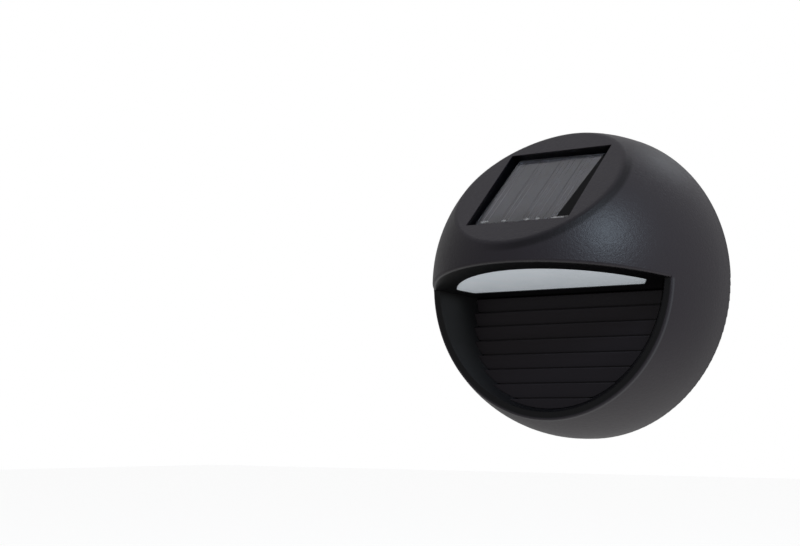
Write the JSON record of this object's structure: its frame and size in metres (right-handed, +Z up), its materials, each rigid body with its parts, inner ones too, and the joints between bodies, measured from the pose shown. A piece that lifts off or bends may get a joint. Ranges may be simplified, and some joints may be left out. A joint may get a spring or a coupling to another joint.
{
  "type": "solar fence light",
  "caption": "Round black solar wall light: domed housing with a tilted solar panel on top and a hooded well with a frosted diffuser shining down over a stepped reflector.",
  "frame": {"origin": "middle of the flat back face that lies on the fence", "axes": "+Z up, +Y into the fence, +X to the right for someone looking at the front"},
  "size_m": [0.115, 0.0628, 0.115],
  "materials": {
    "black_shell": "satin black with a very fine grain",
    "reflector_black": "smooth black",
    "screw_steel": "zinc-plated steel",
    "frosted_diffuser": "frosted, slightly blue white",
    "white_plastic": "matte white",
    "board_green": "green solder mask",
    "led_white": "white ceramic-filled plastic",
    "led_phosphor": "yellow phosphor gel",
    "chip_epoxy": "moulded black epoxy",
    "solder_tin": "tinned copper",
    "ferrite": "dark grey ferrite",
    "copper_wire": "enamelled copper wire",
    "can_metal": "drawn aluminium can",
    "panel_laminate": "dark glass-fibre laminate",
    "cell_silicon": "dark blue-grey silicon",
    "clear_resin": "clear potting resin",
    "sealant_grey": "soft grey sealant",
    "red_insulation": "red wire insulation",
    "black_insulation": "black wire insulation",
    "cell_metal": "nickel-plated can",
    "cell_wrap": "plain green shrink sleeve",
    "contact_metal": "nickel-plated spring steel",
    "black_plate": "fine matte black",
    "black_rubber": "soft black foam rubber",
    "switch_plastic": "black nylon"
  },
  "bodies": {
    "case": {"front_housing": "black_shell", "reflector_panel": "reflector_black", "reflector_screws": "screw_steel", "diffuser_lens": "frosted_diffuser", "light_box": "white_plastic", "circuit_board": "board_green", "board_screws": "screw_steel", "led_bodies": "led_white", "led_fills": "led_phosphor", "driver_chip": "chip_epoxy", "chip_legs": "solder_tin", "coil_core": "ferrite", "coil_winding": "copper_wire", "can_capacitor": "can_metal", "resistors": "chip_epoxy", "panel_base": "panel_laminate", "solar_cells": "cell_silicon", "cell_ribbons": "solder_tin", "panel_cover": "clear_resin", "panel_seal": "sealant_grey", "solar_lead_red": "red_insulation", "solar_lead_black": "black_insulation", "positive_contact": "contact_metal", "negative_contact": "contact_metal", "battery_spring": "contact_metal", "battery_lead_red": "red_insulation", "battery_lead_black": "black_insulation", "back_plate": "black_plate", "case_gasket": "black_rubber", "case_screws": "screw_steel", "switch_cover": "contact_metal", "switch_base": "chip_epoxy", "switch_pins": "solder_tin", "switch_lead_feed": "red_insulation", "switch_lead_return": "black_insulation"},
    "door": {"battery_door": "black_plate", "door_gasket": "black_rubber", "door_screws": "screw_steel"},
    "cell": {"battery_can": "cell_metal", "battery_sleeve": "cell_wrap"},
    "knob": {"switch_knob": "switch_plastic"}
  },
  "joints": [
    {"name": "door_pull", "type": "slide", "parent": "case", "child": "door", "axis": [0, 1, 0], "range_m": [0, 0.05]},
    {"name": "cell_pull", "type": "slide", "parent": "case", "child": "cell", "axis": [0, 1, 0], "range_m": [0, 0.03]},
    {"name": "switch_slide", "type": "slide", "parent": "case", "child": "knob", "axis": [1, 0, 0], "range_m": [0, 0.002]}
  ],
  "couplings": [
    {"joint": "cell_pull", "follows": "door_pull", "ratio": 0.6}
  ]
}
